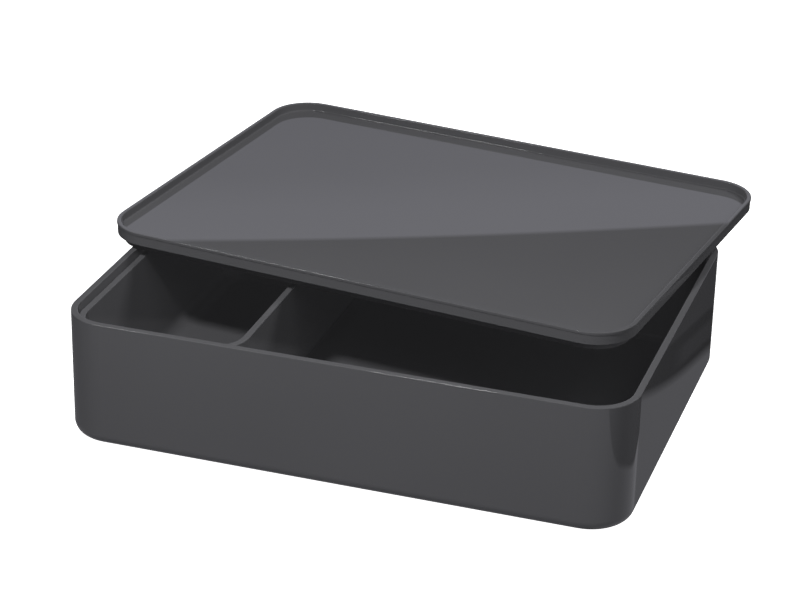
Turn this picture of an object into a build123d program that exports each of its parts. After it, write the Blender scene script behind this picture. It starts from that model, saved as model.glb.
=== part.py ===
"""A lidded storage box for the desk, with a loose tray standing in its left third.

Lengths are in millimetres and angles in degrees. The origin is the middle of the box's
footprint, on the surface that it stands on. X runs along the long front, to the right
of someone who faces it, Y runs to the back and Z up. The lid lies open: slid back,
turned a little, and resting on the box's rim by the lip under it.
"""
import os

from build123d import *

# Outer box
box_length = 270.0
box_depth = 200.0
box_height = 62.3
corner_radius = 21.0
box_wall = 3.25
box_floor = 2.6
box_bottom_round = 5.5
box_floor_round = 3.0
box_rim_round = 0.5

# Feet, round pads set into the underside
foot_diameter = 12.0
foot_proud = 0.8
foot_seat_depth = 0.8
foot_seat_gap = 0.2
foot_inset = 24.0
foot_edge_round = 0.3

# Lid, whose outline is the box's
lid_side_height = 6.1
lid_rim_width = 2.2
lid_recess_depth = 4.1
lid_recess_round = 0.8
lid_bead_height = 1.3
lid_bead_overhang = 0.3
lid_edge_round = 0.4

# Lip under the lid, which drops inside the box's rim
lip_depth = 4.0
lip_wall = 1.8
lip_gap = 0.3
lip_edge_round = 0.6

# Where the lid lies while it is open
lid_turn = -7.12
lid_shift_right = -3.45
lid_shift_back = 65.4

# Tray
tray_width = 83.4
tray_wall = 3.15
tray_floor = 2.4
tray_side_gap = 0.3
tray_lid_gap = 0.15
tray_draft = 3.0
tray_bottom_round = 9.0
tray_floor_round = 7.5
tray_rim_round = 0.5

# Levels
floor_level = foot_proud + box_floor
rim_level = foot_proud + box_height
tray_rim_level = rim_level - lip_depth - tray_lid_gap

# Distances between the feet
foot_spread_right = box_length - 2 * foot_inset
foot_spread_back = box_depth - 2 * foot_inset

# Planes
underside = Plane.XY.offset(foot_proud)
rim_plane = Plane.XY.offset(rim_level)
lid_seat = Plane(
    origin=(lid_shift_right, lid_shift_back, rim_level),
    x_dir=Vector(1, 0, 0).rotate(Axis.Z, lid_turn),
    z_dir=(0, 0, 1),
)
lid_flange = lid_seat.offset(lip_depth)
lid_top = lid_flange.offset(lid_side_height)
tray_centre = tray_width / 2 + tray_side_gap + box_wall - box_length / 2
tray_mouth = Plane(origin=(tray_centre, 0, tray_rim_level), z_dir=(0, 0, -1))


def footprint(inset, mode=Mode.ADD):
    """Draw the box's rounded outline, drawn in on every side by an inset."""
    RectangleRounded(
        box_length - 2 * inset,
        box_depth - 2 * inset,
        corner_radius - inset,
        mode=mode,
    )


def tray_outline(inset):
    """Draw the tray's rounded outline at its rim, drawn in by an inset."""
    edge = box_wall + tray_side_gap
    depth = box_depth - 2 * edge
    RectangleRounded(tray_width - 2 * inset, depth - 2 * inset, corner_radius - edge - inset)


def level_faces(part):
    """List the part's level faces from the lowest to the highest."""
    return part.faces().filter_by(Axis.Z).sort_by(Axis.Z)


# Outer box: straight walls on a rounded bottom, with round seats for the feet
with BuildPart() as outer_box:
    with BuildSketch(underside):
        footprint(0)
    extrude(amount=box_height)
    fillet(outer_box.edges().group_by(Axis.Z)[0], box_bottom_round)
    with BuildSketch(rim_plane):
        footprint(box_wall)
    extrude(amount=box_floor - box_height, mode=Mode.SUBTRACT)
    fillet(level_faces(outer_box)[1].outer_wire().edges(), box_floor_round)
    fillet(level_faces(outer_box)[-1].edges(), box_rim_round)
    with BuildSketch(underside):
        with GridLocations(foot_spread_right, foot_spread_back, 2, 2):
            Circle(foot_diameter / 2 + foot_seat_gap)
    extrude(amount=foot_seat_depth, mode=Mode.SUBTRACT)

# Tray: drafted walls, so that it stands clear of the box lower down
with BuildPart() as insert_tray:
    with BuildSketch(tray_mouth):
        tray_outline(0)
    extrude(amount=tray_rim_level - floor_level, taper=tray_draft)
    fillet(level_faces(insert_tray)[0].edges(), tray_bottom_round)
    with BuildSketch(tray_mouth):
        tray_outline(tray_wall)
    extrude(
        amount=tray_rim_level - floor_level - tray_floor,
        taper=tray_draft,
        mode=Mode.SUBTRACT,
    )
    fillet(level_faces(insert_tray)[1].edges(), tray_floor_round)
    fillet(level_faces(insert_tray)[-1].edges(), tray_rim_round)

# Lid: a recessed top inside a raised rim, and a lip below that holds it on the box
with BuildPart() as lid:
    with BuildSketch(lid_flange):
        footprint(lid_bead_overhang)
    extrude(amount=lid_side_height)
    with BuildSketch(lid_top):
        footprint(0)
    extrude(amount=-lid_bead_height)
    with BuildSketch(lid_top):
        footprint(lid_rim_width)
    extrude(amount=-lid_recess_depth, mode=Mode.SUBTRACT)
    fillet(level_faces(lid)[1].edges(), lid_recess_round)
    fillet(level_faces(lid)[-1].edges(), lid_edge_round)
    with BuildSketch(lid_seat):
        footprint(box_wall + lip_gap)
        footprint(box_wall + lip_gap + lip_wall, mode=Mode.SUBTRACT)
    extrude(amount=lip_depth)
    fillet(level_faces(lid)[0].edges(), lip_edge_round)

pieces = {"outer_box": outer_box, "insert_tray": insert_tray, "lid": lid}

# Feet: one pad in each seat
foot_corners = {
    "foot_front_left": (-1, -1),
    "foot_front_right": (1, -1),
    "foot_back_left": (-1, 1),
    "foot_back_right": (1, 1),
}
for name, (right, back) in foot_corners.items():
    with BuildPart() as pieces[name]:
        with BuildSketch(Plane.XY):
            with Locations((right * foot_spread_right / 2, back * foot_spread_back / 2)):
                Circle(foot_diameter / 2)
        extrude(amount=foot_proud + foot_seat_depth)
        fillet(pieces[name].edges().group_by(Axis.Z)[0], foot_edge_round)

os.makedirs("parts", exist_ok=True)
for name, piece in pieces.items():
    piece.part.label = name
    export_step(piece.part, f"parts/{name}.step")
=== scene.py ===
"""How the lidded desk storage box looks: its finishes, the floor, the light and the camera.

Lengths are in metres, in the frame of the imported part.
"""

import itertools
import math

import bpy
from mathutils import Matrix, Vector

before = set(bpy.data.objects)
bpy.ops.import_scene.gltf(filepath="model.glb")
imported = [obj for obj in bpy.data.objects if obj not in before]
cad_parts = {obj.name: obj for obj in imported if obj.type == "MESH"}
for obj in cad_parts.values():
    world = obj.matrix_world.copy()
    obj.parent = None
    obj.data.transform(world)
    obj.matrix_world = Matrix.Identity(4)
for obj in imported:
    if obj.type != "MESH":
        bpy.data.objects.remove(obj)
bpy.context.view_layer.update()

# Camera
CAMERA_PLACE = (0.33686, -1.05428, 0.57177)
CAMERA_RIGHT = (0.94886, 0.31503, 0.02051)
CAMERA_UP = (-0.15181, 0.39836, 0.90458)
CAMERA_LENS = 115.065
SENSOR_WIDTH = 36.0

# Point that the key light, the glints and the soft lights face
LIGHT_TARGET = (0.0, -0.03, 0.03)

# Key light, which throws the soft-edged shadows inside the box
KEY_PLACE = (-0.1073, -0.4038, 0.5416)
KEY_SIZE = (0.078, 0.054)
KEY_POWER = 4.4

# Glints, lights that only the polished edges of the rims show
GLINT_PLACE = (-0.108, -0.408, 0.545)
GLINT_SIZE = (0.084, 0.054)
GLINT_POWER = 0.8
LEFT_GLINT_PLACE = (-0.43, -0.31, 0.70)
LEFT_GLINT_SIZE = (0.2, 0.05)
LEFT_GLINT_POWER = 1.0

# Soft lights, which lift the insides of the box
SOFT_SIZE = 0.4
SOFT_FRONT_PLACE = (0.5, -0.36, 0.48)
SOFT_FRONT_POWER = 1.3
SOFT_BACK_PLACE = (0.45, 0.35, 0.7)
SOFT_BACK_POWER = 4.0

# Even lights, which reach every hollow: from the front right, the back left and all round
FILL_TOWARDS = (-0.68, 0.567, -0.467)
FILL_STRENGTH = 0.353
REAR_TOWARDS = (0.707, -0.707, 0.0)
REAR_STRENGTH = 2.0
AMBIENT_STRENGTH = 0.14

# Brightness of the studio's fields, which the polish mirrors
FLOOR_FRONT = 0.315
FLOOR_SIDE = 0.36
FLOOR_BEHIND = 0.132
CARD_DIM = 0.001
CARD_GREY = 0.023
CARD_BAR = 0.018
WALL_LOW = 0.384
WALL_HIGH = 0.452
ABOVE_WALL = 0.002

# Tints of the fields, in red, green and blue
FLOOR_TINT = (1.0, 1.0, 1.08)
WALL_TINT = (1.0, 1.0, 1.15)

# Headings around the studio, counted from the front right towards the left, in degrees
HEADING_START = (0.5, -0.8660, 0.0)
HEADING_QUARTER = (-0.8660, -0.5, 0.0)
BESIDE_HEADINGS = (-136.0, -126.0)
AHEAD_HEADINGS = (-20.0, 40.0)
BEND_HEADINGS = (-139.5, -138.3)
BAR_HEADINGS = (-139.3, -139.0)

# Heights of a direction of view, from -1 straight down to 1 straight up
UPWARDS = (0.0, 0.0, 1.0)
HORIZON = (-0.02, 0.02)
AHEAD_HEIGHTS = (-0.375, -0.53)

# Bright wall, mirrored on the lid: its slightly bent top, and fades by depth below the top
WALL_EDGE = (-0.1774, 0.3648, -0.9140)
WALL_LENGTHWISE = (0.9489, 0.3150, 0.0)
WALL_MIDDLE = 0.039
WALL_BEND = 0.14
WALL_EDGE_FADE = (-0.0022, -0.0008)
WALL_HIGH_FADE = (0.024, 0.010)

# Dark card, mirrored on the right face: its edge with a bent end, and fades by distance past it
CARD_EDGE = (0.7796, 0.1577, 0.6060)
CARD_BEND = 0.004
CARD_EDGE_FADE = (-0.0035, -0.0005)
BAR_NEAR_FADE = (0.0002, 0.0014)
BAR_FAR_FADE = (0.0048, 0.0066)
GREY_FADE = (0.0085, 0.0095)

# Rounded lower edge of the card, mirrored on the front right corner, in degrees
CARD_MIDDLE = -79.0
CARD_HALF_WIDTH = 58.8
CARD_FOOT = -28.7
CARD_RISE = 1.2
CARD_SOFTNESS = 0.08

# Plastic, whose tone and roughness vary by a share of themselves either way
PLASTIC_TONE = (0.068, 0.068, 0.072)
PLASTIC_ROUGHNESS = 0.005
PLASTIC_IOR = 1.5
FLOW_SCALE = 9.0
FLOW_DETAIL = 2.0
FLOW_SHADES = (0.975, 1.025)
FLOW_STOPS = (0.3, 0.7)
WEAR_SCALE = 60.0
WEAR_DETAIL = 3.0
WEAR_SPREAD = 0.2

# Rubber
RUBBER_TONE = (0.03, 0.03, 0.032)
RUBBER_ROUGHNESS = 0.8
GRAIN_SCALE = 900.0
GRAIN_DETAIL = 4.0
GRAIN_SHADES = (0.8, 1.25)
GRAIN_STOPS = (0.0, 1.0)
GRAIN_SPREAD = 0.1
GRAIN_RELIEF = 0.5
GRAIN_DEPTH = 0.0001

# Floor
FLOOR_SIZE = 6.0
FLOOR_TONE = (0.8, 0.8, 0.8, 1.0)
FLOOR_ROUGHNESS = 0.9
FLOOR_GLOW_TONE = (1.0, 1.0, 1.0, 1.0)
FLOOR_GLOW = 1.05


def link(tree, source, output, target, inlet):
    """Join one node's output to another node's input."""
    tree.links.new(source.outputs[output], target.inputs[inlet])


def new_material(name):
    """Start a material, and return it with its node tree and its shader."""
    material = bpy.data.materials.new(name)
    material.use_nodes = True
    tree = material.node_tree
    return material, tree, tree.nodes["Principled BSDF"]


def noise(tree, scale, detail):
    """Add noise over the object's own coordinates."""
    coordinates = tree.nodes.new("ShaderNodeTexCoord")
    node = tree.nodes.new("ShaderNodeTexNoise")
    node.inputs["Scale"].default_value = scale
    node.inputs["Detail"].default_value = detail
    link(tree, coordinates, "Object", node, "Vector")
    return node


def shade(tree, source, shader, tone, shades, stops):
    """Let noise vary the colour between a darker and a lighter shade of a tone."""
    colour = tree.nodes.new("ShaderNodeValToRGB")
    for element, level, stop in zip(colour.color_ramp.elements, shades, stops):
        element.position = stop
        element.color = (*[channel * level for channel in tone], 1.0)
    link(tree, source, "Fac", colour, "Fac")
    link(tree, colour, "Color", shader, "Base Color")


def roughen(tree, source, shader, roughness, spread):
    """Let noise vary the roughness by a share of itself either way."""
    polish = tree.nodes.new("ShaderNodeMapRange")
    polish.inputs["To Min"].default_value = roughness * (1 - spread)
    polish.inputs["To Max"].default_value = roughness * (1 + spread)
    link(tree, source, "Fac", polish, "Value")
    link(tree, polish, "Result", shader, "Roughness")


def gloss_plastic(name):
    """Polished moulded plastic: nearly even, with a faint flow and a fine skin."""
    material, tree, shader = new_material(name)
    flow = noise(tree, FLOW_SCALE, FLOW_DETAIL)
    shade(tree, flow, shader, PLASTIC_TONE, FLOW_SHADES, FLOW_STOPS)
    wear = noise(tree, WEAR_SCALE, WEAR_DETAIL)
    roughen(tree, wear, shader, PLASTIC_ROUGHNESS, WEAR_SPREAD)
    shader.inputs["IOR"].default_value = PLASTIC_IOR
    return material


def rubber(name):
    """Matt rubber with a fine open grain."""
    material, tree, shader = new_material(name)
    grain = noise(tree, GRAIN_SCALE, GRAIN_DETAIL)
    shade(tree, grain, shader, RUBBER_TONE, GRAIN_SHADES, GRAIN_STOPS)
    roughen(tree, grain, shader, RUBBER_ROUGHNESS, GRAIN_SPREAD)
    relief = tree.nodes.new("ShaderNodeBump")
    relief.inputs["Strength"].default_value = GRAIN_RELIEF
    relief.inputs["Distance"].default_value = GRAIN_DEPTH
    link(tree, grain, "Fac", relief, "Height")
    link(tree, relief, "Normal", shader, "Normal")
    return material


def assign(node, material):
    """Give a CAD node's object its material."""
    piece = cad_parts[node]
    for place in piece.material_slots:
        place.material = material
    if not piece.material_slots:
        piece.data.materials.append(material)


def value_of(node):
    """Find the output that carries a node's one value."""
    return node.outputs.get("Value") or node.outputs["Result"]


def along(tree, coordinates, direction):
    """Measure how far a direction of view leans towards a direction."""
    node = tree.nodes.new("ShaderNodeVectorMath")
    node.operation = "DOT_PRODUCT"
    node.inputs[1].default_value = direction
    tree.links.new(coordinates.outputs["Generated"], node.inputs[0])
    return node


def calculate(tree, operation, first, second=None):
    """Work out a value from one or two others, each a node or a number."""
    node = tree.nodes.new("ShaderNodeMath")
    node.operation = operation
    for inlet, value in enumerate((first, second)):
        if isinstance(value, float):
            node.inputs[inlet].default_value = value
        elif value is not None:
            tree.links.new(value_of(value), node.inputs[inlet])
    return node


def between(tree, source, ends):
    """Map a value to run from 0 at the first of two ends to 1 at the second, and clamp it."""
    node = tree.nodes.new("ShaderNodeMapRange")
    node.inputs["From Min"].default_value = ends[0]
    node.inputs["From Max"].default_value = ends[1]
    tree.links.new(value_of(source), node.inputs["Value"])
    return node


def between_headings(tree, heading, ends):
    """Map a heading in the same way, with the two ends in degrees."""
    return between(tree, heading, [math.radians(end) for end in ends])


def blend(tree, factor, below, above):
    """Blend two fields, each a node or a level, by a factor from 0 to 1."""
    node = tree.nodes.new("ShaderNodeMix")
    link(tree, factor, "Result", node, "Factor")
    for inlet, field in (("A", below), ("B", above)):
        if isinstance(field, float):
            node.inputs[inlet].default_value = field
        else:
            tree.links.new(value_of(field), node.inputs[inlet])
    return node


def wall_depth(tree, coordinates):
    """Measure how far a direction of view lies below the slightly bent top of the wall."""
    aside = along(tree, coordinates, WALL_LENGTHWISE)
    aside = calculate(tree, "SUBTRACT", aside, WALL_MIDDLE)
    bend = calculate(tree, "MULTIPLY", aside, aside)
    bend = calculate(tree, "MULTIPLY", bend, WALL_BEND)
    return calculate(tree, "SUBTRACT", along(tree, coordinates, WALL_EDGE), bend)


def card_distance(tree, card, heading):
    """Measure how far a direction of view lies past the card's edge, which bends at its end."""
    aside = between_headings(tree, heading, BEND_HEADINGS)
    bend = calculate(tree, "MULTIPLY", aside, aside)
    bend = calculate(tree, "MULTIPLY", bend, CARD_BEND)
    return calculate(tree, "SUBTRACT", card, bend)


def card_height(tree, heading, height):
    """Measure how far a direction of view lies above the rounded lower edge of the card."""
    aside = calculate(tree, "SUBTRACT", heading, math.radians(CARD_MIDDLE))
    aside = calculate(tree, "DIVIDE", aside, math.radians(CARD_HALF_WIDTH))
    aside = calculate(tree, "MULTIPLY", aside, aside)
    aside = calculate(tree, "MULTIPLY", aside, aside)
    rise = calculate(tree, "MULTIPLY", aside, math.radians(CARD_RISE))
    edge = calculate(tree, "ADD", rise, math.radians(CARD_FOOT))
    return calculate(tree, "SUBTRACT", calculate(tree, "ARCSINE", height), edge)


def ground_field(tree, heading, height):
    """Blend the floor's fields: dim behind, bright beside and fading with height ahead."""
    nearer = between(tree, height, AHEAD_HEIGHTS)
    ahead = blend(tree, nearer, 0.0, FLOOR_FRONT)
    ground = blend(tree, between_headings(tree, heading, AHEAD_HEADINGS), FLOOR_SIDE, ahead)
    return blend(tree, between_headings(tree, heading, BESIDE_HEADINGS), FLOOR_BEHIND, ground)


def card_field(tree, card, heading):
    """Blend the card's fields: dim, with a short faint bar along its edge, and grey beyond."""
    bar = blend(tree, between(tree, card, BAR_NEAR_FADE), CARD_DIM, CARD_BAR)
    bar = blend(tree, between(tree, card, BAR_FAR_FADE), bar, CARD_DIM)
    bar = blend(tree, between_headings(tree, heading, BAR_HEADINGS), bar, CARD_DIM)
    return blend(tree, between(tree, card, GREY_FADE), bar, CARD_GREY)


def sky_field(tree, wall, tint):
    """Blend the wall, in one channel of its colour, into the dark above it."""
    level = blend(tree, between(tree, wall, WALL_HIGH_FADE), WALL_LOW * tint, WALL_HIGH * tint)
    return blend(tree, between(tree, wall, WALL_EDGE_FADE), ABOVE_WALL, level)


def studio(scene):
    """Surround the object with the even fields that its polish mirrors."""
    world = bpy.data.worlds.new("studio")
    scene.world = world
    world.use_nodes = True
    tree = world.node_tree
    coordinates = tree.nodes.new("ShaderNodeTexCoord")
    height = along(tree, coordinates, UPWARDS)
    wall = wall_depth(tree, coordinates)
    card = along(tree, coordinates, CARD_EDGE)
    start = along(tree, coordinates, HEADING_START)
    quarter = along(tree, coordinates, HEADING_QUARTER)
    heading = calculate(tree, "ARCTAN2", quarter, start)

    ground = ground_field(tree, heading, height)
    past_edge = between(tree, card_distance(tree, card, heading), CARD_EDGE_FADE)
    below = blend(tree, past_edge, ground, card_field(tree, card, heading))
    soft = math.radians(CARD_SOFTNESS)
    above_foot = between(tree, card_height(tree, heading, height), (-soft, soft))
    below = blend(tree, above_foot, ground, below)

    horizon = between(tree, height, HORIZON)
    colour = tree.nodes.new("ShaderNodeCombineColor")
    channels = zip(("Red", "Green", "Blue"), FLOOR_TINT, WALL_TINT)
    for channel, floor_tint, wall_tint in channels:
        lower = calculate(tree, "MULTIPLY", below, floor_tint)
        whole = blend(tree, horizon, lower, sky_field(tree, wall, wall_tint))
        link(tree, whole, "Result", colour, channel)
    link(tree, colour, "Color", tree.nodes["Background"], "Color")


def add_light(scene, kind, name, place, target, power):
    """Add a light at a place, and point it at a target."""
    data = bpy.data.lights.new(name, kind)
    data.energy = power
    light = bpy.data.objects.new(name, data)
    scene.collection.objects.link(light)
    light.location = place
    away = Vector(place) - Vector(target)
    light.rotation_euler = away.to_track_quat("Z", "Y").to_euler()
    return light


def hard_light(scene, name, place, size, power):
    """Add a small rectangular light."""
    light = add_light(scene, "AREA", name, place, LIGHT_TARGET, power)
    light.data.shape = "RECTANGLE"
    light.data.size, light.data.size_y = size
    return light


def soft_light(scene, name, place, power):
    """Add a broad round light that leaves no glint."""
    light = add_light(scene, "AREA", name, place, LIGHT_TARGET, power)
    light.data.shape = "DISK"
    light.data.size = SOFT_SIZE
    light.visible_glossy = False


def even_light(scene, name, towards, strength):
    """Add an even light without shadows or glints."""
    light = add_light(scene, "SUN", name, (0.0, 0.0, 0.0), towards, strength)
    light.data.use_shadow = False
    light.visible_glossy = False


def lights(scene):
    """Light the object."""
    key = hard_light(scene, "key", KEY_PLACE, KEY_SIZE, KEY_POWER)
    key.visible_glossy = False
    glint = hard_light(scene, "glint", GLINT_PLACE, GLINT_SIZE, GLINT_POWER)
    glint.visible_diffuse = False
    left_glint = hard_light(
        scene, "left_glint", LEFT_GLINT_PLACE, LEFT_GLINT_SIZE, LEFT_GLINT_POWER
    )
    left_glint.visible_diffuse = False
    soft_light(scene, "soft_front", SOFT_FRONT_PLACE, SOFT_FRONT_POWER)
    soft_light(scene, "soft_back", SOFT_BACK_PLACE, SOFT_BACK_POWER)
    even_light(scene, "fill", FILL_TOWARDS, FILL_STRENGTH)
    even_light(scene, "rear", REAR_TOWARDS, REAR_STRENGTH)
    for number, corner in enumerate(itertools.product((-1.0, 1.0), repeat=3), 1):
        even_light(scene, f"ambient_{number}", corner, AMBIENT_STRENGTH)


def floor(scene):
    """Lay an even white floor that adds no light of its own to the object."""
    half = FLOOR_SIZE / 2
    mesh = bpy.data.meshes.new("floor")
    corners = [(-half, -half, 0), (half, -half, 0), (half, half, 0), (-half, half, 0)]
    mesh.from_pydata(corners, [], [(0, 1, 2, 3)])
    plane = bpy.data.objects.new("floor", mesh)
    scene.collection.objects.link(plane)
    material, _, shader = new_material("floor_white")
    shader.inputs["Base Color"].default_value = FLOOR_TONE
    shader.inputs["Roughness"].default_value = FLOOR_ROUGHNESS
    shader.inputs["Emission Color"].default_value = FLOOR_GLOW_TONE
    shader.inputs["Emission Strength"].default_value = FLOOR_GLOW
    mesh.materials.append(material)
    plane.visible_glossy = False
    plane.visible_diffuse = False


def camera(scene):
    """Stand the camera where the photograph was taken from."""
    data = bpy.data.cameras.new("camera")
    data.lens = CAMERA_LENS
    data.sensor_width = SENSOR_WIDTH
    data.dof.use_dof = False
    piece = bpy.data.objects.new("camera", data)
    scene.collection.objects.link(piece)
    right = Vector(CAMERA_RIGHT)
    up = Vector(CAMERA_UP)
    columns = Matrix((right, up, right.cross(up))).transposed()
    piece.matrix_world = Matrix.Translation(CAMERA_PLACE) @ columns.to_4x4()
    scene.camera = piece


scene = bpy.context.scene
scene.view_settings.view_transform = "Standard"

assign("outer_box", gloss_plastic("box_plastic"))
assign("insert_tray", gloss_plastic("tray_plastic"))
assign("lid", gloss_plastic("lid_plastic"))
pad_rubber = rubber("foot_rubber")
for node in ("foot_front_left", "foot_front_right", "foot_back_left", "foot_back_right"):
    assign(node, pad_rubber)

studio(scene)
lights(scene)
floor(scene)
camera(scene)
